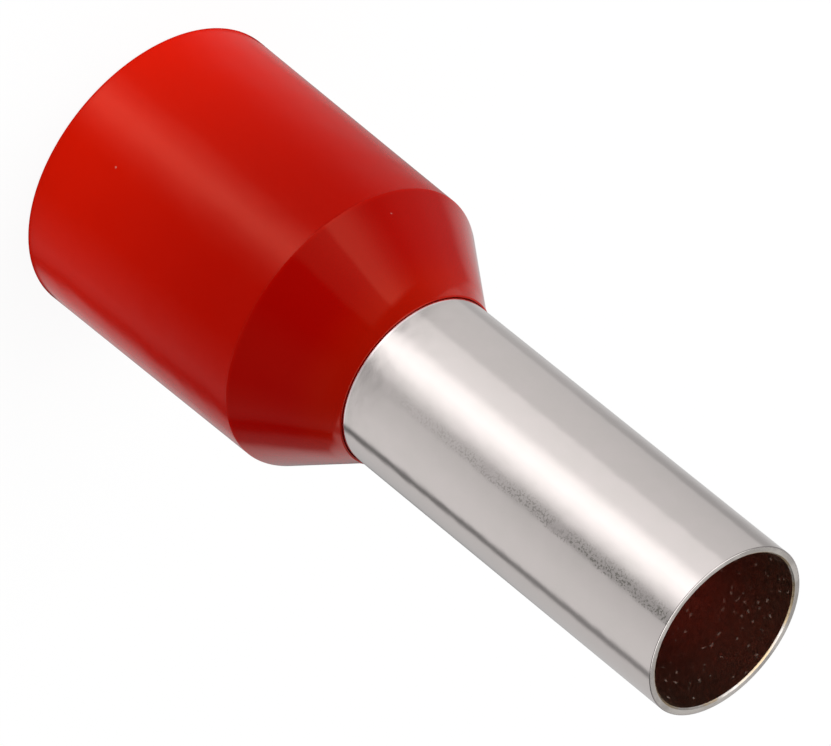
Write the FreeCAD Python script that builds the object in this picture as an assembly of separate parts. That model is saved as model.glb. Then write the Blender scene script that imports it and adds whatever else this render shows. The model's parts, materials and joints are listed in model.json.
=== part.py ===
import FreeCAD, Part
import math
import os

# Insulated wire ferrule: a thin plated tube that is crimped on a stripped wire, with a
# moulded funnel collar that takes the end of the wire's insulation.
# It stands on the collar's rear rim. The origin is the centre of that rim, and +Z runs
# along the common axis to the open mouth of the tube. Millimetres and degrees.

# Tube
TUBE_BORE_DIAMETER = 4.5
TUBE_WALL = 0.2
TUBE_PROTRUSION = 11.6
FLARE_BEND_RADIUS = 0.6
FLARE_LENGTH = 0.9
MOUTH_ROUNDING = 0.06
MOUTH_CHAMFER = 0.05

# Collar
WIRE_BORE_DIAMETER = 7.5
SHOULDER_WALL = 0.36
SKIRT_DRAFT = 0.8
SKIRT_LENGTH = 7.85
CONE_LENGTH = 2.4
NECK_WALL = 0.06
NECK_LENGTH = 0.15
FUNNEL_WALL = 0.6
RIM_OUTER_ROUNDING = 0.1
RIM_INNER_ROUNDING = 0.2
SHOULDER_ROUNDING = 0.2
NECK_FILLET = 0.2
NOSE_ROUNDING = 0.03

# Radii and heights that follow
tube_inner_radius = TUBE_BORE_DIAMETER / 2
tube_outer_radius = tube_inner_radius + TUBE_WALL
wire_bore_radius = WIRE_BORE_DIAMETER / 2
shoulder_radius = wire_bore_radius + SHOULDER_WALL
rim_radius = shoulder_radius + SKIRT_LENGTH * math.tan(math.radians(SKIRT_DRAFT))
neck_radius = tube_outer_radius + NECK_WALL
neck_height = SKIRT_LENGTH + CONE_LENGTH
nose_height = neck_height + NECK_LENGTH
mouth_height = nose_height + TUBE_PROTRUSION

# The funnel runs parallel to the outer cone, one wall inside it, down to the tube
cone_angle = math.atan2(shoulder_radius - neck_radius, CONE_LENGTH)
funnel_offset = FUNNEL_WALL / math.cos(cone_angle)


def funnel_height(radius):
    """Height at which the funnel's face has this radius."""
    return SKIRT_LENGTH + (shoulder_radius - funnel_offset - radius) / math.tan(cone_angle)


def rounded_edges(corners):
    """Closed run of edges through (radius, height, rounding) corners, with tangent arcs."""
    points = [FreeCAD.Vector(radius, 0, height) for radius, height, _ in corners]
    roundings = [rounding for _, _, rounding in corners]
    arrivals, arcs, departures = [], [], []
    for index, corner in enumerate(points):
        back = (points[index - 1] - corner).normalize()
        onward = (points[(index + 1) % len(points)] - corner).normalize()
        half_angle = back.getAngle(onward) / 2
        trim = roundings[index] / math.tan(half_angle)
        middle = (back + onward).normalize()
        reach = roundings[index] / math.sin(half_angle) - roundings[index]
        arrival, departure = corner + back * trim, corner + onward * trim
        arrivals.append(arrival)
        departures.append(departure)
        if roundings[index]:
            arcs.append(Part.Arc(arrival, corner + middle * reach, departure).toShape())
        else:
            arcs.append(None)
    edges = []
    for index, arc in enumerate(arcs):
        if arc:
            edges.append(arc)
        next_arrival = arrivals[(index + 1) % len(points)]
        edges.append(Part.LineSegment(departures[index], next_arrival).toShape())
    return edges


def turned(corners):
    """Solid of revolution about Z from a closed half section."""
    section = Part.Face(Part.Wire(rounded_edges(corners)))
    return section.revolve(FreeCAD.Vector(0, 0, 0), FreeCAD.Vector(0, 0, 1), 360)


def make_crimp_tube():
    """Drawn tube, square cut at the mouth and belled where it seats in the funnel."""
    outer_bend_height = funnel_height(tube_outer_radius)
    bend_shift = math.tan(cone_angle / 2)
    inner_bend_height = outer_bend_height - TUBE_WALL * bend_shift
    slope = FLARE_LENGTH + FLARE_BEND_RADIUS * bend_shift
    lip_radius = tube_outer_radius + slope * math.sin(cone_angle)
    lip_height = outer_bend_height - slope * math.cos(cone_angle)
    inner_lip_radius = lip_radius - TUBE_WALL * math.cos(cone_angle)
    inner_lip_height = lip_height - TUBE_WALL * math.sin(cone_angle)
    return turned([
        (tube_inner_radius, mouth_height - MOUTH_CHAMFER, 0),
        (tube_inner_radius + MOUTH_CHAMFER, mouth_height, 0),
        (tube_outer_radius, mouth_height, MOUTH_ROUNDING),
        (tube_outer_radius, outer_bend_height, FLARE_BEND_RADIUS),
        (lip_radius, lip_height, 0),
        (inner_lip_radius, inner_lip_height, 0),
        (tube_inner_radius, inner_bend_height, FLARE_BEND_RADIUS + TUBE_WALL),
    ])


def make_insulating_collar():
    """Moulded skirt, cone and short neck, bored for the wire and funnelled to the tube."""
    return turned([
        (wire_bore_radius, 0, RIM_INNER_ROUNDING),
        (rim_radius, 0, RIM_OUTER_ROUNDING),
        (shoulder_radius, SKIRT_LENGTH, SHOULDER_ROUNDING),
        (neck_radius, neck_height, NECK_FILLET),
        (neck_radius, nose_height, NOSE_ROUNDING),
        (tube_outer_radius, nose_height, 0),
        (tube_outer_radius, funnel_height(tube_outer_radius), FLARE_BEND_RADIUS),
        (wire_bore_radius, funnel_height(wire_bore_radius), 0),
    ])


def export(shape, node):
    """Check one piece and write its file."""
    if not shape.isValid() or len(shape.Solids) != 1:
        raise ValueError(node + " is not one valid solid")
    shape.exportStep("parts/" + node + ".step")
    print(node, round(shape.Volume, 3), "mm3")


os.makedirs("parts", exist_ok=True)
export(make_crimp_tube(), "crimp_tube")
export(make_insulating_collar(), "insulating_collar")
print("length", mouth_height, "rim diameter", round(2 * rim_radius, 3))
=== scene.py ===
import json
import math

import bmesh
import bpy
from mathutils import Matrix, Vector


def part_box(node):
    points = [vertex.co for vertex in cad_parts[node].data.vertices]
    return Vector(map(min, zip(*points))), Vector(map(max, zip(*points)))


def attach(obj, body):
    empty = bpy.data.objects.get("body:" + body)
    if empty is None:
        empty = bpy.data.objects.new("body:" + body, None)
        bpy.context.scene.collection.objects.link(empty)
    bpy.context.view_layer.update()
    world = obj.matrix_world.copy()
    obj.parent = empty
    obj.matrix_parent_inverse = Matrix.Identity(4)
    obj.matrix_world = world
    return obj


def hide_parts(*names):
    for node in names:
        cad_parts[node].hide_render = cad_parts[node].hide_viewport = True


bl_info = {
    "name": "Wire Ferrule Maker",
    "version": (1, 0, 0),
    "blender": (4, 5, 0),
    "location": "3D View > Sidebar > Ferrule",
    "description": "Turns a plated crimp tube and its moulded collar, and sets them in a studio",
    "category": "Object",
}

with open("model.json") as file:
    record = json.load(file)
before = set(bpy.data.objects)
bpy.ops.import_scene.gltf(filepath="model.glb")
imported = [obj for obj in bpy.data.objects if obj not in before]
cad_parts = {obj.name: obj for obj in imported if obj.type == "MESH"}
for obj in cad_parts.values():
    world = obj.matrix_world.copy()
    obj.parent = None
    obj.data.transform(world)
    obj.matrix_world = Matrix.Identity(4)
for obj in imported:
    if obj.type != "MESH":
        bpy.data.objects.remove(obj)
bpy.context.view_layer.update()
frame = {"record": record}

MM = 0.001
MOUNTS = {mount["name"]: mount for mount in frame["record"]["mounts"]}
TUBE_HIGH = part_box("crimp_tube")[1]
COLLAR_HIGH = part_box("insulating_collar")[1]

# Rings of a turned piece: points round it, steps across each rounded corner, how near to a place
# a point counts as on it, how near points are welded, and the sharpest angle that is smoothed
POINTS_ROUND = 256
ROUNDING_STEPS = 6
SAME_PLACE = 0.002 * MM
WELD_DISTANCE = 0.0001 * MM
SMOOTH_ANGLE = math.radians(30)

# The render's width in pixels, which the camera's scale is stated for, and the sensor's in mm
PICTURE_WIDTH = 831
SENSOR_WIDTH = 36


def mount_size(mount, size):
    """A size of one of the record's mounts, in metres."""
    return MOUNTS[mount]["dims"][size] * MM


class TubeSizes(bpy.types.PropertyGroup):
    bore_radius: bpy.props.FloatProperty(
        name="Bore radius",
        description="Inner radius of the straight tube, which the stripped strands fill",
        default=mount_size("conductor_bore", "r_mm"), unit="LENGTH", precision=6)
    wall: bpy.props.FloatProperty(
        name="Wall", description="Thickness of the drawn tube",
        default=0.2 * MM, unit="LENGTH", precision=6)
    mouth_height: bpy.props.FloatProperty(
        name="Mouth height", description="Height of the cut end above the collar's rear rim",
        default=TUBE_HIGH.z, unit="LENGTH", precision=6)
    bend_radius: bpy.props.FloatProperty(
        name="Bend radius", description="Radius of the bend between the tube and its belled end",
        default=0.6 * MM, unit="LENGTH", precision=6)
    flare_length: bpy.props.FloatProperty(
        name="Flare length", description="Straight length of the belled end beyond its bend",
        default=0.9 * MM, unit="LENGTH", precision=6)
    mouth_rounding: bpy.props.FloatProperty(
        name="Mouth rounding", description="Rounding of the cut end's outer edge",
        default=0.025 * MM, unit="LENGTH", precision=6)
    mouth_chamfer: bpy.props.FloatProperty(
        name="Mouth chamfer", description="Chamfer of the cut end's inner edge",
        default=0.04 * MM, unit="LENGTH", precision=6)
    cut_unevenness: bpy.props.FloatProperty(
        name="Cut unevenness", description="How far the cut edge strays from a true circle",
        default=0.004 * MM, unit="LENGTH", precision=6)


class CollarSizes(bpy.types.PropertyGroup):
    rim_radius: bpy.props.FloatProperty(
        name="Rim radius", description="Outer radius at the rear rim",
        default=min(COLLAR_HIGH.x, COLLAR_HIGH.y), unit="LENGTH", precision=6)
    wire_bore_radius: bpy.props.FloatProperty(
        name="Wire bore radius", description="Radius of the bore that takes the wire's insulation",
        default=mount_size("wire_entry", "r_mm"), unit="LENGTH", precision=6)
    shoulder_wall: bpy.props.FloatProperty(
        name="Shoulder wall", description="Thickness of the skirt at the shoulder",
        default=0.36 * MM, unit="LENGTH", precision=6)
    skirt_length: bpy.props.FloatProperty(
        name="Skirt length", description="From the rear rim to the shoulder",
        default=7.85 * MM, unit="LENGTH", precision=6)
    cone_length: bpy.props.FloatProperty(
        name="Cone length", description="From the shoulder to the neck",
        default=2.4 * MM, unit="LENGTH", precision=6)
    neck_wall: bpy.props.FloatProperty(
        name="Neck wall", description="Thickness of the neck round the tube",
        default=0.06 * MM, unit="LENGTH", precision=6)
    funnel_wall: bpy.props.FloatProperty(
        name="Funnel wall", description="Thickness between the outer cone and the inner funnel",
        default=0.6 * MM, unit="LENGTH", precision=6)
    rim_outer_rounding: bpy.props.FloatProperty(
        name="Rim outer rounding", description="Rounding of the rear rim outside",
        default=0.1 * MM, unit="LENGTH", precision=6)
    rim_inner_rounding: bpy.props.FloatProperty(
        name="Rim inner rounding", description="Rounding of the rear rim inside",
        default=0.2 * MM, unit="LENGTH", precision=6)
    shoulder_rounding: bpy.props.FloatProperty(
        name="Shoulder rounding", description="Rounding of the crease between skirt and cone",
        default=0.015 * MM, unit="LENGTH", precision=6)
    neck_length: bpy.props.FloatProperty(
        name="Neck length", description="How far below its end the neck turns up from the cone",
        default=0.3 * MM, unit="LENGTH", precision=6)
    neck_fillet: bpy.props.FloatProperty(
        name="Neck fillet", description="Fillet between cone and neck",
        default=2.1 * MM, unit="LENGTH", precision=6)
    nose_rounding: bpy.props.FloatProperty(
        name="Nose rounding", description="Rounding of the neck's end",
        default=0.02 * MM, unit="LENGTH", precision=6)
    lip_gap: bpy.props.FloatProperty(
        name="Lip gap", description="Dark gap that the neck's mouth leaves round the tube",
        default=0.02 * MM, unit="LENGTH", precision=6)
    lip_depth: bpy.props.FloatProperty(
        name="Lip depth", description="Depth of the gap round the tube",
        default=0.1 * MM, unit="LENGTH", precision=6)


class Colours(bpy.types.PropertyGroup):
    red: bpy.props.FloatVectorProperty(
        name="Red", description="Moulded plastic of the skirt below the shoulder",
        default=(0.48, 0.0032, 0.0001), size=3, min=0, max=1, subtype="COLOR")
    # Painted glow: the rear wall's lighter red stands in for light that passes through the thin
    # plastic
    red_rear_painted_glow: bpy.props.FloatVectorProperty(
        name="Rear red", description="The thin wall by the rear rim, which light passes through",
        default=(0.88, 0.0105, 0.0004), size=3, min=0, max=1, subtype="COLOR")
    # Painted shade: the cone's darker red stands in for the light that falls less on the cone than
    # on the skirt
    red_cone_painted_shade: bpy.props.FloatVectorProperty(
        name="Cone red", description="The thick plastic of the cone",
        default=(0.35, 0.0010, 0.0001), size=3, min=0, max=1, subtype="COLOR")
    # Painted light: the lighter red by the tube stands in for light that the bright metal throws on
    # the plastic
    red_neck_painted_light: bpy.props.FloatVectorProperty(
        name="Neck red", description="The thin plastic by the tube, which the metal lights",
        default=(0.38, 0.0045, 0.0001), size=3, min=0, max=1, subtype="COLOR")
    red_gloss: bpy.props.FloatVectorProperty(
        name="Red gloss", description="Tint of the plastic's own shine where it is seen straight on",
        default=(1.0, 0.29, 0.18), size=3, min=0, max=1, subtype="COLOR")
    dust: bpy.props.FloatVectorProperty(
        name="Dust", description="Pale specks on the plastic and in the bore",
        default=(0.62, 0.55, 0.50), size=3, min=0, max=1, subtype="COLOR")
    tin: bpy.props.FloatVectorProperty(
        name="Tin", description="Bright plating of the tube",
        default=(0.80, 0.725, 0.715), size=3, min=0, max=1, subtype="COLOR")
    tin_dull: bpy.props.FloatVectorProperty(
        name="Dull tin", description="Slightly duller patches of the plating",
        default=(0.73, 0.685, 0.655), size=3, min=0, max=1, subtype="COLOR")
    # Painted highlight: a thin bright line that stands in for a reflection beside the collar
    tin_painted_highlight: bpy.props.FloatVectorProperty(
        name="Burnished tin", description="Thin bright line round the tube beside the collar",
        default=(0.98, 0.86, 0.86), size=3, min=0, max=1, subtype="COLOR")
    pit: bpy.props.FloatVectorProperty(
        name="Pit", description="Fine pits in the plating",
        default=(0.28, 0.265, 0.24), size=3, min=0, max=1, subtype="COLOR")
    bore: bpy.props.FloatVectorProperty(
        name="Bore", description="Tarnished inside of the tube, near the mouth",
        default=(0.58, 0.45, 0.36), size=3, min=0, max=1, subtype="COLOR")
    # Painted reflection: the deep bore's red stands in for light that the red collar throws into the
    # tube
    bore_painted_red_reflection: bpy.props.FloatVectorProperty(
        name="Deep bore", description="Inside of the tube where it takes up the collar's red",
        default=(0.76, 0.38, 0.31), size=3, min=0, max=1, subtype="COLOR")
    cut: bpy.props.FloatVectorProperty(
        name="Cut", description="Freshly cut face of the mouth",
        default=(0.84, 0.79, 0.74), size=3, min=0, max=1, subtype="COLOR")
    cut_worn: bpy.props.FloatVectorProperty(
        name="Worn cut", description="Darker patches of the cut face",
        default=(0.58, 0.54, 0.51), size=3, min=0, max=1, subtype="COLOR")
    copper: bpy.props.FloatVectorProperty(
        name="Copper", description="Bare copper that shows at the inner edge of the cut",
        default=(0.80, 0.62, 0.40), size=3, min=0, max=1, subtype="COLOR")


class PatternSizes(bpy.types.PropertyGroup):
    moulding_cloud: bpy.props.FloatProperty(
        name="Moulding cloud", description="Width of the soft clouds in the red plastic",
        default=1.8 * MM, unit="LENGTH", precision=6)
    moulding_wave: bpy.props.FloatProperty(
        name="Moulding wave", description="Width of the red plastic's gentle waves",
        default=1.4 * MM, unit="LENGTH", precision=6)
    skirt_wave_height: bpy.props.FloatProperty(
        name="Skirt wave height", description="Height of the waves on the skirt",
        default=0.034 * MM, unit="LENGTH", precision=6)
    cone_wave_height: bpy.props.FloatProperty(
        name="Cone wave height", description="Height of the waves on the cone",
        default=0.014 * MM, unit="LENGTH", precision=6)
    speck_spacing: bpy.props.FloatProperty(
        name="Speck spacing", description="Distance between the plastic's pale specks",
        default=1.2 * MM, unit="LENGTH", precision=6)
    speck_radius: bpy.props.FloatProperty(
        name="Speck radius", description="Radius of the plastic's largest specks",
        default=0.045 * MM, unit="LENGTH", precision=6)
    plating_patch: bpy.props.FloatProperty(
        name="Plating patch", description="Width of the duller patches, which also place the wear",
        default=0.7 * MM, unit="LENGTH", precision=6)
    plating_grain: bpy.props.FloatProperty(
        name="Plating grain", description="Width of the fine grain, which also places the pits",
        default=0.06 * MM, unit="LENGTH", precision=6)
    grain_height: bpy.props.FloatProperty(
        name="Grain height", description="Height of the grain on the plating",
        default=0.0005 * MM, unit="LENGTH", precision=6)
    cut_grain_height: bpy.props.FloatProperty(
        name="Cut grain height", description="Height of the grain on the cut face",
        default=0.0015 * MM, unit="LENGTH", precision=6)
    plating_wave: bpy.props.FloatProperty(
        name="Plating wave", description="Width of the plating's gentle waves",
        default=0.6 * MM, unit="LENGTH", precision=6)
    plating_wave_height: bpy.props.FloatProperty(
        name="Plating wave height", description="Height of the plating's waves",
        default=0.007 * MM, unit="LENGTH", precision=6)
    stripe_start: bpy.props.FloatProperty(
        name="Stripe start", description="Bearing at which the worn stripe starts",
        default=math.radians(8), subtype="ANGLE")
    stripe_soft_edge: bpy.props.FloatProperty(
        name="Stripe soft edge", description="Width of the stripe's soft edge",
        default=math.radians(7), subtype="ANGLE")
    stripe_end: bpy.props.FloatProperty(
        name="Stripe end", description="Bearing at which the worn stripe ends",
        default=math.radians(19), subtype="ANGLE")
    stripe_sharp_edge: bpy.props.FloatProperty(
        name="Stripe sharp edge", description="Width of the stripe's sharper edge",
        default=math.radians(2), subtype="ANGLE")
    stripe_wander: bpy.props.FloatProperty(
        name="Stripe wander", description="How far the stripe's edges stray to and fro",
        default=math.radians(6), subtype="ANGLE")
    dust_spacing: bpy.props.FloatProperty(
        name="Dust spacing", description="Distance between the flecks of dust in the bore",
        default=0.26 * MM, unit="LENGTH", precision=6)
    dust_radius: bpy.props.FloatProperty(
        name="Dust radius", description="Radius of the largest flecks of dust in the bore",
        default=0.058 * MM, unit="LENGTH", precision=6)


class StageSettings(bpy.types.PropertyGroup):
    look_down: bpy.props.FloatProperty(
        name="Look down", description="How far above the horizon the camera stands",
        default=math.radians(33.552), subtype="ANGLE")
    roll: bpy.props.FloatProperty(
        name="Roll", description="How far the picture's upright leans from the ferrule's axis",
        default=math.radians(129.0635), subtype="ANGLE")
    distance: bpy.props.FloatProperty(
        name="Distance", description="From the camera to the plane through the tube's mouth",
        default=223.387 * MM, unit="LENGTH", precision=6)
    picture_scale: bpy.props.FloatProperty(
        name="Picture scale", description="Pixels to a millimetre at the tube's mouth",
        default=41.0396)
    mouth_right: bpy.props.FloatProperty(
        name="Mouth right", description="Pixels from the picture's middle to the mouth's centre",
        default=309.635)
    mouth_down: bpy.props.FloatProperty(
        name="Mouth down", description="Pixels from the picture's middle down to the mouth's centre",
        default=258.439)
    key_bearing: bpy.props.FloatProperty(
        name="Key bearing", description="Where the main soft light stands, from the camera's side",
        default=math.radians(-90), subtype="ANGLE")
    key_elevation: bpy.props.FloatProperty(
        name="Key elevation", description="How far above the horizon the main soft light stands",
        default=math.radians(65), subtype="ANGLE")
    key_strength: bpy.props.FloatProperty(
        name="Key strength", description="Power of the main soft light in watts",
        default=0.52)
    rim_bearing: bpy.props.FloatProperty(
        name="Rim bearing", description="Where the soft light behind the collar stands",
        default=math.radians(-135), subtype="ANGLE")
    rim_elevation: bpy.props.FloatProperty(
        name="Rim elevation", description="How far above the horizon that light stands",
        default=math.radians(45), subtype="ANGLE")
    rim_strength: bpy.props.FloatProperty(
        name="Rim strength", description="Power of the soft light behind the collar in watts",
        default=0.16)
    fill: bpy.props.FloatProperty(
        name="Fill", description="Brightness of the pale room round the ferrule",
        default=0.64)


class Reading:
    """A number that varies over a surface. Sums and products of readings place Math nodes."""

    def __init__(self, finish, node, output):
        self.finish = finish
        self.node = node
        self.output = output

    @property
    def socket(self):
        """The output that other sockets link to."""
        return self.node.outputs[self.output]

    def other(self, output):
        """Another output of the same node."""
        return Reading(self.finish, self.node, output)

    def worked(self, operation, *numbers):
        """Result of one Math node."""
        return self.finish.add("ShaderNodeMath", {"operation": operation}, dict(enumerate(numbers)))

    def __add__(self, number):
        return self.worked("ADD", self, number)

    def __radd__(self, number):
        return self.worked("ADD", number, self)

    def __sub__(self, number):
        return self.worked("SUBTRACT", self, number)

    def __rsub__(self, number):
        return self.worked("SUBTRACT", number, self)

    def __mul__(self, number):
        return self.worked("MULTIPLY", self, number)

    def __rmul__(self, number):
        return self.worked("MULTIPLY", number, self)

    def __truediv__(self, number):
        return self.worked("DIVIDE", self, number)

    def __pow__(self, number):
        return self.worked("POWER", self, number)

    def __gt__(self, number):
        return self.worked("GREATER_THAN", self, number)

    def greatest(self, number):
        return self.worked("MAXIMUM", self, number)

    def sine(self):
        return self.worked("SINE", self)

    def arcsine(self):
        return self.worked("ARCSINE", self)

    def bearing(self, across):
        """Angle of the direction with these two components, from minus pi to pi."""
        return self.worked("ARCTAN2", self, across)

    def between(self, first, second):
        """The first number where this is 0 and the second where it is 1."""
        return self * (second - first) + first

    def eased(self, start, end):
        """0 at start and 1 at end, with a soft turn at both."""
        return self.finish.add(
            "ShaderNodeMapRange", {"interpolation_type": "SMOOTHSTEP"},
            {"Value": self, "From Min": start, "From Max": end})


class Finish:
    """One material's nodes."""

    def __init__(self, tree):
        self.tree = tree
        self.tree.nodes.clear()

    def add(self, kind, settings=None, sockets=None, output=0):
        """Places a node: its settings first, then its sockets' values or links."""
        node = self.tree.nodes.new(kind)
        for name, value in (settings or {}).items():
            if name == "stops":
                self.set_stops(node.color_ramp, value)
            else:
                setattr(node, name, value)
        for name, value in (sockets or {}).items():
            if isinstance(value, Reading):
                self.tree.links.new(value.socket, node.inputs[name])
            else:
                node.inputs[name].default_value = value
        return Reading(self, node, output)

    def set_stops(self, ramp, stops):
        """Gives a colour ramp these (place, colour) stops."""
        while len(ramp.elements) < len(stops):
            ramp.elements.new(1.0)
        for element, (place, colour) in zip(ramp.elements, stops):
            element.position = place
            element.color = (*colour, 1.0)

    def coordinates(self):
        """The piece's own coordinates in metres: as one vector, and as x, y and z."""
        place = self.add("ShaderNodeTexCoord", output="Object")
        x = self.add("ShaderNodeSeparateXYZ", sockets={0: place}, output="X")
        return place, x, x.other("Y"), x.other("Z")

    def noise(self, place, size, detail=2.0):
        """Cloudy pattern whose patches are about this size."""
        return self.add(
            "ShaderNodeTexNoise", {}, {"Vector": place, "Scale": 1 / size, "Detail": detail})

    def ruffled(self, place, size, reach):
        """Coordinates shifted to and fro by up to this reach, which makes round marks ragged."""
        shift = self.add("ShaderNodeTexNoise", {}, {"Vector": place, "Scale": 1 / size}, "Color")
        centred = self.add(
            "ShaderNodeVectorMath", {"operation": "SUBTRACT"}, {0: shift, 1: (0.5, 0.5, 0.5)})
        scaled = self.add(
            "ShaderNodeVectorMath", {"operation": "SCALE"}, {0: centred, "Scale": reach * 2})
        return self.add("ShaderNodeVectorMath", {"operation": "ADD"}, {0: place, 1: scaled})

    def specks(self, place, spacing, size):
        """Sparse specks up to this radius: 1 on a speck and 0 between them."""
        distance = self.add(
            "ShaderNodeTexVoronoi", {}, {"Vector": place, "Scale": 1 / spacing}, "Distance")
        return distance.eased(size / spacing, 0.4 * size / spacing)

    def blend(self, share, first, second):
        """Colour between two colours."""
        return self.add(
            "ShaderNodeMix", {"data_type": "RGBA"}, {0: share, 6: first, 7: second}, output=2)

    def skin(self, height):
        """Normal of a surface with this relief in metres."""
        return self.add(
            "ShaderNodeBump", {}, {"Strength": 1.0, "Distance": 1.0, "Height": height},
            output="Normal")


def painted(colour):
    """A colour as the four numbers that a socket takes."""
    return (*colour, 1.0)


def grey(level):
    """Grey as the three numbers of a colour."""
    return (level, level, level)


def new_material(name):
    """An empty material, and its nodes."""
    material = bpy.data.materials.new(name)
    material.use_nodes = True
    return material, Finish(material.node_tree)


def make_red_polypropylene():
    """Glossy moulded red: warmer where the skirt is thin and lets light through, which is a painted
    glow, with painted shade on the cone and painted light from the tube by the neck.
    """
    material, finish = new_material("red_polypropylene")
    scene = bpy.context.scene
    colours, patterns = scene.ferrule_colours, scene.ferrule_patterns
    collar = scene.ferrule_collar
    place, _, _, z = finish.coordinates()
    shoulder_height = collar.skirt_length
    neck_height = shoulder_height + collar.cone_length

    # Colour: from the rear rim to the shoulder with a painted glow of light through the thin wall,
    # then the cone in painted shade, then the plastic by the tube in painted light from the bright
    # metal
    cloud = finish.noise(place, patterns.moulding_cloud)
    # Share of the painted glow, strongest at the rear rim and gone at the shoulder
    rear_painted_glow_share = (1.0 - z / shoulder_height).greatest(0.0) ** 1.6 * (0.85 + 0.15 * cloud)
    toward_cone = z.eased(shoulder_height - 0.1 * MM, shoulder_height + 0.1 * MM)
    # Share of the painted light from the tube, which grows towards the neck
    neck_painted_light_share = z.eased(neck_height - 1.2 * MM, neck_height - 0.1 * MM)
    colour = finish.blend(rear_painted_glow_share, painted(colours.red), painted(colours.red_rear_painted_glow))
    # Painted shade over the cone
    colour = finish.blend(toward_cone, colour, painted(colours.red_cone_painted_shade))
    colour = finish.blend(neck_painted_light_share, colour, painted(colours.red_neck_painted_light))

    # A few pale specks, far apart
    ragged = finish.ruffled(place, 0.08 * MM, 0.05 * MM)
    dust = finish.specks(ragged, patterns.speck_spacing, patterns.speck_radius) * 0.5
    colour = finish.blend(dust, colour, painted(colours.dust))

    # Gentle waves of the moulding, calmer on the cone, whose height averages out at nothing
    wave_height = toward_cone.between(patterns.skirt_wave_height, patterns.cone_wave_height)
    waves = (finish.noise(place, patterns.moulding_wave, 1.0) - 0.5) * wave_height
    surface = finish.add(
        "ShaderNodeBsdfPrincipled", {},
        {"Base Color": colour,
         "Roughness": 0.08 + 0.05 * cloud - 0.03 * toward_cone + 0.3 * dust,
         "Normal": finish.skin(waves),
         "Specular IOR Level": 0.8, "Specular Tint": painted(colours.red_gloss)})
    finish.add("ShaderNodeOutputMaterial", {}, {"Surface": surface})
    return material


def make_tin_plating():
    """Bright tin outside with a painted highlight beside the collar, a beige cut with a copper edge
    at the mouth, and a dull dark bore with a painted reflection of the collar's red deep down.
    """
    material, finish = new_material("tin_plating")
    scene = bpy.context.scene
    colours, patterns = scene.ferrule_colours, scene.ferrule_patterns
    tube = scene.ferrule_tube
    bore, outer, chamfer = tube.bore_radius, tube_outer_radius(), tube.mouth_chamfer
    place, x, y, z = finish.coordinates()
    radius = (x * x + y * y) ** 0.5
    patches = finish.noise(place, patterns.plating_patch, 4.0)
    grain = finish.noise(place, patterns.plating_grain, 3.0)
    colour = finish.blend(
        patches * 0.7 + grain * 0.3, painted(colours.tin), painted(colours.tin_dull))

    # A worn stripe along the tube, full of pits, that fades towards the collar
    turn = x.bearing(-1.0 * y) + (patches - 0.5) * patterns.stripe_wander
    begun = turn.eased(
        patterns.stripe_start, patterns.stripe_start + patterns.stripe_soft_edge)
    not_ended = turn.eased(
        patterns.stripe_end, patterns.stripe_end - patterns.stripe_sharp_edge)
    toward_mouth = z.eased(COLLAR_HIGH.z, tube.mouth_height)
    worn = begun * not_ended * toward_mouth * patches.eased(0.25, 0.45)
    pits = worn * grain.eased(0.48, 0.62)
    colour = finish.blend(pits, colour, painted(colours.pit))

    # A painted highlight: a thin bright line round the tube beside the collar
    painted_highlight_line = z.eased(COLLAR_HIGH.z + 0.10 * MM, COLLAR_HIGH.z + 0.08 * MM)
    colour = finish.blend(painted_highlight_line, colour, painted(colours.tin_painted_highlight))

    # The bore, with a painted reflection of the collar's red farther down
    inside = radius.eased(bore + 0.02 * MM, bore + 0.005 * MM)
    painted_red_depth = z.eased(tube.mouth_height - 0.4 * MM, tube.mouth_height - 3.2 * MM)
    lining = finish.blend(painted_red_depth, painted(colours.bore), painted(colours.bore_painted_red_reflection))
    colour = finish.blend(inside, colour, lining)

    # The cut face, with bare copper along parts of its inner edge
    at_mouth = z > (tube.mouth_height - chamfer * 1.4)
    cut = at_mouth * radius.eased(outer - 0.01 * MM, outer - 0.05 * MM)
    edge = at_mouth * patches.eased(0.35, 0.55) * radius.eased(
        bore + chamfer * 1.5, bore + chamfer * 0.7)
    face = finish.blend(
        patches.eased(0.35, 0.65), painted(colours.cut), painted(colours.cut_worn))
    colour = finish.blend(cut, colour, face)
    colour = finish.blend(edge, colour, painted(colours.copper))

    # Ragged dust in the bore
    ragged = finish.ruffled(place, 0.09 * MM, 0.09 * MM)
    flecks = finish.specks(ragged, patterns.dust_spacing, patterns.dust_radius)
    dust = inside * flecks * patches.eased(0.25, 0.5) * 0.5
    colour = finish.blend(dust, colour, painted(colours.dust))

    # Gentle waves of the drawn tube, and grain that is coarser on the cut
    waves = finish.noise(place, patterns.plating_wave, 1.0) * patterns.plating_wave_height
    grain_height = cut.between(patterns.grain_height, patterns.cut_grain_height)
    surface = finish.add(
        "ShaderNodeBsdfPrincipled", {},
        {"Base Color": colour, "Metallic": 1.0 - dust,
         "Roughness": 0.12 + 0.04 * patches + 0.15 * inside + 0.15 * cut + 0.2 * pits,
         "Normal": finish.skin(waves + grain * grain_height)})
    finish.add("ShaderNodeOutputMaterial", {}, {"Surface": surface})
    return material


def lean_of_cone(collar):
    """Angle between the collar's axis and its cone."""
    drop = collar.wire_bore_radius + collar.shoulder_wall - neck_radius(collar)
    return math.atan2(drop, collar.cone_length)


def tube_outer_radius():
    """Radius of the tube outside, which is also the collar's neck bore."""
    tube = bpy.context.scene.ferrule_tube
    return tube.bore_radius + tube.wall


def neck_radius(collar):
    """Radius of the collar's neck outside."""
    return tube_outer_radius() + collar.neck_wall


def funnel_height(collar, radius):
    """Height at which the inner funnel has this radius."""
    lean = lean_of_cone(collar)
    shoulder = collar.wire_bore_radius + collar.shoulder_wall
    funnel_at_shoulder = shoulder - collar.funnel_wall / math.cos(lean)
    return collar.skirt_length + (funnel_at_shoulder - radius) / math.tan(lean)


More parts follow.
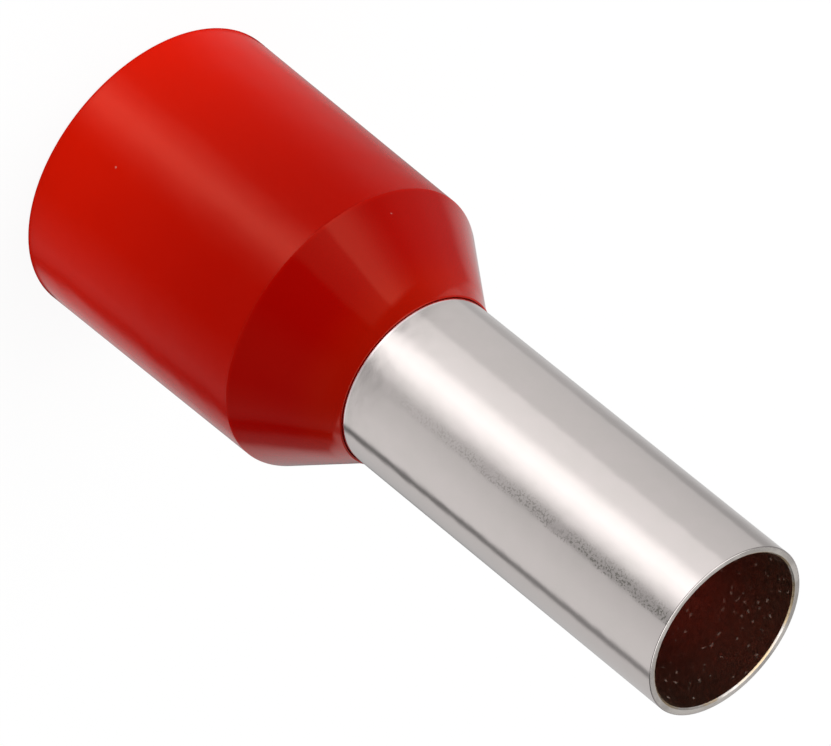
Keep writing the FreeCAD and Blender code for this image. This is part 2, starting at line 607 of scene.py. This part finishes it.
def collar_corners(collar):
    """Corners of the collar's half section as (radius, height, rounding)."""
    bend_radius = bpy.context.scene.ferrule_tube.bend_radius
    bore, seat, neck = collar.wire_bore_radius, tube_outer_radius(), neck_radius(collar)
    nose_height = COLLAR_HIGH.z
    turn_height = nose_height - collar.neck_length
    cone_left = collar.skirt_length + collar.cone_length - turn_height
    turn_radius = neck + cone_left * math.tan(lean_of_cone(collar))
    return [
        (bore, 0, collar.rim_inner_rounding),
        (collar.rim_radius, 0, collar.rim_outer_rounding),
        (bore + collar.shoulder_wall, collar.skirt_length, collar.shoulder_rounding),
        (turn_radius, turn_height, collar.neck_fillet),
        (neck, nose_height, collar.nose_rounding),
        (seat + collar.lip_gap, nose_height, 0),
        (seat, nose_height - collar.lip_depth, 0),
        (seat, funnel_height(collar, seat), bend_radius),
        (bore, funnel_height(collar, bore), 0),
    ]


def tube_corners(tube, collar):
    """Corners of the tube's half section as (radius, height, rounding)."""
    lean = lean_of_cone(collar)
    outer = tube_outer_radius()
    bend_height = funnel_height(collar, outer)
    shift = math.tan(lean / 2)
    slope = tube.flare_length + tube.bend_radius * shift
    lip = outer + slope * math.sin(lean), bend_height - slope * math.cos(lean)
    return [
        (tube.bore_radius, tube.mouth_height - tube.mouth_chamfer, 0),
        (tube.bore_radius + tube.mouth_chamfer, tube.mouth_height, 0),
        (outer, tube.mouth_height, tube.mouth_rounding),
        (outer, bend_height, tube.bend_radius),
        (lip[0], lip[1], 0),
        (lip[0] - tube.wall * math.cos(lean), lip[1] - tube.wall * math.sin(lean), 0),
        (tube.bore_radius, bend_height - tube.wall * shift, tube.bend_radius + tube.wall),
    ]


def first_ring(name, radius, height):
    """Starts a turned wall with an open ring of edges."""
    bpy.ops.object.select_all(action="DESELECT")
    bpy.ops.mesh.primitive_circle_add(
        vertices=POINTS_ROUND, radius=radius, fill_type="NOTHING", location=(0, 0, height))
    piece = bpy.context.active_object
    piece.name = piece.data.name = name
    bpy.ops.object.transform_apply(location=True, rotation=False, scale=False)
    bpy.ops.object.mode_set(mode="EDIT")
    bpy.ops.mesh.select_mode(type="EDGE")
    bpy.ops.mesh.select_all(action="SELECT")
    return piece


def draw_wall(start, end):
    """Extrudes the selected ring from one (radius, height) to the next."""
    bpy.ops.mesh.extrude_region_move(TRANSFORM_OT_translate={"value": (0, 0, end[1] - start[1])})
    growth = end[0] / start[0]
    bpy.ops.transform.resize(value=(growth, growth, 1), center_override=(0, 0, end[1]))


def select_rings(piece, *rings):
    """Selects the rings of edges at these (radius, height) places."""
    bpy.ops.mesh.select_all(action="DESELECT")
    mesh = bmesh.from_edit_mesh(piece.data)
    for radius, height in rings:
        on_ring = {
            point for point in mesh.verts
            if abs(math.hypot(point.co.x, point.co.y) - radius) < SAME_PLACE
            and abs(point.co.z - height) < SAME_PLACE}
        for edge in mesh.edges:
            if on_ring.issuperset(edge.verts):
                edge.select_set(True)
    bmesh.update_edit_mesh(piece.data)


def corner_trim(corners, index):
    """How far a corner's rounding starts from the corner."""
    radius, height, rounding = corners[index]
    corner = Vector((radius, height))
    back = Vector(corners[index - 1][:2]) - corner
    onward = Vector(corners[(index + 1) % len(corners)][:2]) - corner
    return rounding / math.tan(back.angle(onward) / 2)


def turn_piece(name, corners):
    """Turns a closed half section: rings drawn from corner to corner, closed, then rounded."""
    piece = first_ring(name, *corners[0][:2])
    for start, end in zip(corners, corners[1:]):
        draw_wall(start[:2], end[:2])
    select_rings(piece, corners[-1][:2], corners[0][:2])
    bpy.ops.mesh.bridge_edge_loops()
    for index, (radius, height, rounding) in enumerate(corners):
        if rounding:
            select_rings(piece, (radius, height))
            bpy.ops.mesh.bevel(
                offset=corner_trim(corners, index), offset_type="OFFSET", segments=ROUNDING_STEPS,
                profile=0.5, affect="EDGES")
    return piece


def finish_piece(piece, material, node):
    """Closes and smooths a turned piece, and seats it in the frame."""
    bpy.ops.mesh.select_all(action="SELECT")
    bpy.ops.mesh.remove_doubles(threshold=WELD_DISTANCE)
    bpy.ops.mesh.normals_make_consistent(inside=False)
    bpy.ops.object.mode_set(mode="OBJECT")
    bpy.ops.object.shade_smooth_by_angle(angle=SMOOTH_ANGLE)
    bpy.ops.object.modifier_add(type="WEIGHTED_NORMAL")
    modifier = piece.modifiers[-1]
    modifier.keep_sharp = True
    bpy.ops.object.modifier_apply(modifier=modifier.name)
    piece.data.materials.clear()
    piece.data.materials.append(material)
    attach(piece, "root")
    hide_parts(node)


class FERRULE_OT_make_tube(bpy.types.Operator):
    """Makes the plated crimp tube with its belled end and its cut mouth"""
    bl_idname = "ferrule.make_tube"
    bl_label = "Make Crimp Tube"

    def execute(self, context):
        tube, collar = context.scene.ferrule_tube, context.scene.ferrule_collar
        piece = turn_piece("plated_tube", tube_corners(tube, collar))
        select_rings(
            piece, (tube.bore_radius, tube.mouth_height - tube.mouth_chamfer),
            (tube.bore_radius + tube.mouth_chamfer, tube.mouth_height))
        bpy.ops.transform.translate(value=(0, 0, -tube.cut_unevenness))
        bpy.ops.transform.vertex_random(offset=tube.cut_unevenness, seed=4)
        finish_piece(piece, make_tin_plating(), "crimp_tube")
        return {"FINISHED"}


class FERRULE_OT_make_collar(bpy.types.Operator):
    """Makes the moulded collar: skirt, cone and neck outside, wire bore and funnel inside"""
    bl_idname = "ferrule.make_collar"
    bl_label = "Make Collar"

    def execute(self, context):
        collar = context.scene.ferrule_collar
        piece = turn_piece("moulded_collar", collar_corners(collar))
        finish_piece(piece, make_red_polypropylene(), "insulating_collar")
        return {"FINISHED"}


# Brightness of the light tent's panels by bearing round the ferrule, in degrees. Bearing 0 is on
# the camera's side, and bearings grow towards +X. The table has a mat round the ferrule, which the
# skirt mirrors, and whose panels are darker than the table's away from their bright band: painted
# shade of the ferrule on the table. Beyond the mat the table has two levels: near the mat, and
# farther out. The roof has two levels too: low down, and from halfway up. Above it hangs one pale
# ceiling.
SHADED_MAT_PANELS = (
    (-180, 0.30), (-160, 0.34), (-144, 0.25), (-124, 0.26), (-104, 0.22), (-84, 0.12),
    (-72, 0.09), (-48, 0.12), (-38, 0.20), (-28, 0.68), (-17, 1.45), (-10, 1.30),
    (-1, 0.60), (8, 0.18), (18, 0.03), (60, 0.02), (80, 0.12), (104, 0.20),
    (112, 0.14), (120, 0.04), (127, 0.07), (136, 0.33), (150, 0.45), (162, 0.52),
    (180, 0.20),
)
TABLE_PANELS = (
    (-180, 0.25, 0.62), (-168, 0.58, 0.66), (-150, 0.60, 0.55), (-134, 0.50, 0.40),
    (-125, 0.50, 0.40), (-121, 0.64, 0.59), (-90, 0.69, 0.66), (-64, 0.71, 0.70),
    (-60, 0.91, 0.90), (-33, 1.00, 0.95), (-27, 1.20, 1.16), (-22, 1.36, 1.36),
    (-10, 1.46, 1.46), (0, 1.30, 1.28), (11, 0.96, 0.92), (22, 0.62, 0.42),
    (34, 0.60, 0.34), (37, 0.64, 0.58), (70, 0.73, 0.69), (98, 0.75, 0.72),
    (104, 0.14, 0.22), (109, 0.14, 0.22), (114, 0.64, 0.60), (148, 0.50, 0.58),
    (160, 0.34, 0.56), (168, 0.18, 0.54), (180, 0.06, 0.48),
)
ROOF_PANELS = (
    (-180, 0.45, 0.45), (-158, 0.40, 0.40), (-150, 0.22, 0.30), (-129, 0.20, 0.26),
    (-118, 0.25, 0.28), (-95, 0.24, 0.26), (-82, 0.16, 0.32), (-68, 0.14, 0.55),
    (-55, 0.10, 1.10), (-44, 0.10, 1.25), (-41, 0.08, 0.50), (-28, 0.08, 0.34),
    (-16, 0.07, 0.26), (-12, 0.06, 0.02), (24, 0.04, 0.00), (47, 0.04, 0.08),
    (80, 0.06, 0.12), (104, 0.15, 0.16), (110, 0.10, 0.10), (114, 0.01, 0.02),
    (120, 0.03, 0.04), (125, 0.13, 0.13), (136, 0.18, 0.18), (150, 0.22, 0.30),
    (158, 0.40, 0.40), (180, 0.45, 0.45),
)
CEILING = 1.6

# Where the panels change into each other: the dark foot at the collar's rim, which is a painted
# contact shadow, the mat, which lies a little towards the camera and whose darker panels are painted
# shade, the table, which ends sooner behind the ferrule, and the ceiling
MAT_HOLE = 4.19 * MM
FOOT_RADIUS = 4.4 * MM
FOOT_BLUR = 0.15 * MM
MAT_RADIUS = 16.5 * MM
MAT_BLUR = 0.3 * MM
MAT_SHIFT = 1.2 * MM
TABLE_NEAR = 18 * MM
TABLE_FAR = 36 * MM
TABLE_END = 90 * MM
TABLE_BLUR = 45 * MM
WALL_FOOT = 10 * MM
CEILING_RADIUS = 80 * MM
CEILING_BLUR = 20 * MM
TENT_RADIUS = 150 * MM
TENT_HEIGHT = 120 * MM
TENT_CLEARANCE = 0.02 * MM

# A ramp's colours end at 1, so the panels are painted at this share and glow by its inverse
PAINT_SHARE = 0.5

# Floor, in metres, and how white it looks where it is seen directly
FLOOR_SIZE = 1.6
FLOOR_WHITE = 0.93

# Soft lights
LAMP_DISTANCE = 300 * MM
LAMP_SIZE = 200 * MM


def make_tent_fabric():
    """Glowing panels of the light tent, whose gaps give the plating its dark lines."""
    material, finish = new_material("tent_fabric")
    _, x, y, z = finish.coordinates()
    radius = (x * x + y * y) ** 0.5
    bearing = x.bearing(-1.0 * y) / (2 * math.pi) + 0.5

    # What the skirt mirrors at each place of the mat: a ray that leaves the skirt at bearing b
    # runs on at bearing 2b, and the loop closes in on that b
    faced = bearing * math.pi - math.pi / 2
    for _ in range(4):
        faced = (bearing - 0.5) * math.pi + (faced.sine() * MAT_HOLE / radius).arcsine() / 2
    faced_bearing = faced / math.pi + 0.5

    def panels(rows, column, place_on_ramp=bearing):
        stops = [(row[0] / 360 + 0.5, grey(row[column] * PAINT_SHARE)) for row in rows]
        return finish.add("ShaderNodeValToRGB", {"stops": stops}, {0: place_on_ramp})

    # Table and mat
    outward = radius.eased(TABLE_NEAR, TABLE_FAR)
    colour = finish.blend(outward, panels(TABLE_PANELS, 1), panels(TABLE_PANELS, 2))
    from_mat_middle = (x * x + (y + MAT_SHIFT) * (y + MAT_SHIFT)) ** 0.5
    on_shaded_mat = from_mat_middle.eased(MAT_RADIUS + MAT_BLUR, MAT_RADIUS - MAT_BLUR)
    # Painted shade: the mat's darker panels stand in for the ferrule's own shade on the table
    colour = finish.blend(on_shaded_mat, colour, panels(SHADED_MAT_PANELS, 1, faced_bearing))
    # Painted contact shadow: a black ring on the table round the collar's foot
    painted_foot_shadow = radius.eased(FOOT_RADIUS, FOOT_RADIUS - FOOT_BLUR)
    colour = finish.blend(painted_foot_shadow, colour, painted(grey(0)))

    # Walls and roof, which come down sooner behind the ferrule
    behind = (y / radius).eased(0.3, 0.6)
    table_end = TABLE_END - behind * (TABLE_END - TABLE_FAR)
    upward = z.eased(0, WALL_FOOT).greatest(radius.eased(table_end, table_end + TABLE_BLUR))
    high = z.eased(TENT_HEIGHT * 0.4, TENT_HEIGHT * 0.6)
    roof = finish.blend(high, panels(ROOF_PANELS, 1), panels(ROOF_PANELS, 2))
    colour = finish.blend(upward, colour, roof)
    overhead = (z > TENT_HEIGHT / 2) * radius.eased(CEILING_RADIUS + CEILING_BLUR, CEILING_RADIUS)
    colour = finish.blend(overhead, colour, painted(grey(CEILING * PAINT_SHARE)))
    glow = finish.add("ShaderNodeEmission", {}, {"Color": colour, "Strength": 1 / PAINT_SHARE})
    finish.add("ShaderNodeOutputMaterial", {}, {"Surface": glow})
    return material


def seen_directly(finish):
    """1 where the camera, a mirror image or clear material sees the surface."""
    path = finish.add("ShaderNodeLightPath", output="Is Camera Ray")
    return path.greatest(path.other("Is Glossy Ray")).greatest(path.other("Is Transmission Ray"))


def make_floor_paper():
    """Pale paper that shows white and keeps a faint shadow."""
    material, finish = new_material("floor_paper")
    place = finish.add("ShaderNodeTexCoord", output="Object")
    mottle = finish.noise(place, 3 * MM)
    pale = finish.blend(mottle, painted(grey(0.86)), painted(grey(0.9)))
    paper = finish.add("ShaderNodeBsdfDiffuse", {}, {"Color": pale})
    white = finish.add("ShaderNodeEmission", {}, {"Color": painted(grey(1)), "Strength": 1.0})
    white_share = seen_directly(finish) * FLOOR_WHITE
    both = finish.add("ShaderNodeMixShader", {}, {0: white_share, 1: paper, 2: white})
    finish.add("ShaderNodeOutputMaterial", {}, {"Surface": both})
    return material


def make_world(fill):
    """Pale room: white to the eye and in mirror images, plain fill light elsewhere."""
    world = bpy.data.worlds.new("pale_room")
    world.use_nodes = True
    finish = Finish(world.node_tree)
    pale = painted(grey(1))
    soft = finish.add("ShaderNodeBackground", {}, {"Color": pale, "Strength": fill})
    white = finish.add("ShaderNodeBackground", {}, {"Color": pale, "Strength": 1.0})
    both = finish.add("ShaderNodeMixShader", {}, {0: seen_directly(finish), 1: soft, 2: white})
    finish.add("ShaderNodeOutputWorld", {}, {"Surface": both})
    return world


def direction(bearing, elevation):
    """Unit vector from the ferrule at this bearing and this angle above the horizon."""
    level = Vector((math.sin(bearing), -math.cos(bearing), 0))
    return level * math.cos(elevation) + Vector((0, 0, math.sin(elevation)))


def add_soft_light(name, bearing, elevation, power):
    """Square soft light that faces the middle of the ferrule, and that nothing mirrors."""
    middle = Vector((0, 0, TUBE_HIGH.z / 2))
    out = direction(bearing, elevation)
    bpy.ops.object.light_add(type="AREA", location=middle + out * LAMP_DISTANCE)
    lamp = bpy.context.active_object
    lamp.name = name
    lamp.rotation_euler = out.to_track_quat("Z", "Y").to_euler()
    lamp.data.size = LAMP_SIZE
    lamp.data.energy = power
    lamp.visible_camera = False
    lamp.visible_glossy = False


def add_light_tent():
    """Round tent of glowing panels that only the ferrule's gloss sees."""
    tent = first_ring("light_tent", MAT_HOLE, TENT_CLEARANCE)
    draw_wall((MAT_HOLE, TENT_CLEARANCE), (TENT_RADIUS, TENT_CLEARANCE))
    draw_wall((TENT_RADIUS, TENT_CLEARANCE), (TENT_RADIUS, TENT_HEIGHT))
    draw_wall((TENT_RADIUS, TENT_HEIGHT), (MAT_HOLE, TENT_HEIGHT))
    bpy.ops.object.mode_set(mode="OBJECT")
    tent.data.materials.append(make_tent_fabric())
    tent.visible_camera = False
    tent.visible_diffuse = False
    tent.visible_transmission = False
    tent.visible_shadow = False


def add_floor():
    """Pale floor that the ferrule stands on."""
    bpy.ops.object.select_all(action="DESELECT")
    bpy.ops.mesh.primitive_plane_add(size=FLOOR_SIZE)
    floor = bpy.context.active_object
    floor.name = "floor"
    floor.data.materials.append(make_floor_paper())


def add_camera(settings):
    """Camera on the -Y side, rolled so that the standing ferrule lies across the picture."""
    turn, rise = settings.roll, settings.look_down
    back = Vector((0, -math.cos(rise), math.sin(rise)))
    level = Vector((1, 0, 0))
    steep = back.cross(level)
    right = level * math.cos(turn) + steep * math.sin(turn)
    up = steep * math.cos(turn) - level * math.sin(turn)
    pixel = MM / settings.picture_scale
    mouth = Vector((0, 0, bpy.context.scene.ferrule_tube.mouth_height))
    place = mouth + back * settings.distance - right * settings.mouth_right * pixel
    place = place + up * settings.mouth_down * pixel
    bpy.ops.object.camera_add()
    camera = bpy.context.active_object
    camera.matrix_world = Matrix.Translation(place) @ Matrix((right, up, back)).transposed().to_4x4()
    camera.data.sensor_width = SENSOR_WIDTH
    camera.data.lens = SENSOR_WIDTH * settings.distance / (PICTURE_WIDTH * pixel)
    camera.data.clip_start = settings.distance * 0.1
    camera.data.clip_end = 10
    bpy.context.scene.camera = camera


class FERRULE_OT_make_stage(bpy.types.Operator):
    """Makes the pale floor, the light tent, the lamps, the room and the camera"""
    bl_idname = "ferrule.make_stage"
    bl_label = "Make Stage"

    def execute(self, context):
        settings = context.scene.ferrule_stage
        add_floor()
        add_light_tent()
        add_soft_light(
            "key_light", settings.key_bearing, settings.key_elevation, settings.key_strength)
        add_soft_light(
            "rim_light", settings.rim_bearing, settings.rim_elevation, settings.rim_strength)
        context.scene.world = make_world(settings.fill)
        context.scene.view_settings.view_transform = "Standard"
        add_camera(settings)
        return {"FINISHED"}


class FERRULE_PT_panel(bpy.types.Panel):
    """Lists the sizes, the colours and the steps"""
    bl_label = "Wire Ferrule"
    bl_space_type = "VIEW_3D"
    bl_region_type = "UI"
    bl_category = "Ferrule"

    def draw(self, context):
        layout, scene = self.layout, context.scene
        for title, group in (
                ("Tube", scene.ferrule_tube), ("Collar", scene.ferrule_collar),
                ("Colours", scene.ferrule_colours), ("Patterns", scene.ferrule_patterns),
                ("Stage", scene.ferrule_stage)):
            box = layout.box()
            box.label(text=title)
            for name in group.bl_rna.properties.keys():
                if name not in ("name", "rna_type"):
                    box.prop(group, name)
        for operator in OPERATORS:
            layout.operator(operator.bl_idname)


GROUPS = {
    "ferrule_tube": TubeSizes, "ferrule_collar": CollarSizes, "ferrule_colours": Colours,
    "ferrule_patterns": PatternSizes, "ferrule_stage": StageSettings,
}
OPERATORS = (FERRULE_OT_make_tube, FERRULE_OT_make_collar, FERRULE_OT_make_stage)


def register():
    for new_class in (*GROUPS.values(), *OPERATORS, FERRULE_PT_panel):
        bpy.utils.register_class(new_class)
    for name, group in GROUPS.items():
        setattr(bpy.types.Scene, name, bpy.props.PointerProperty(type=group))


def unregister():
    for name in GROUPS:
        delattr(bpy.types.Scene, name)
    for old_class in (FERRULE_PT_panel, *reversed(OPERATORS), *GROUPS.values()):
        bpy.utils.unregister_class(old_class)


def main():
    register()
    bpy.ops.ferrule.make_tube()
    bpy.ops.ferrule.make_collar()
    bpy.ops.ferrule.make_stage()


if __name__ == "__main__":
    main()
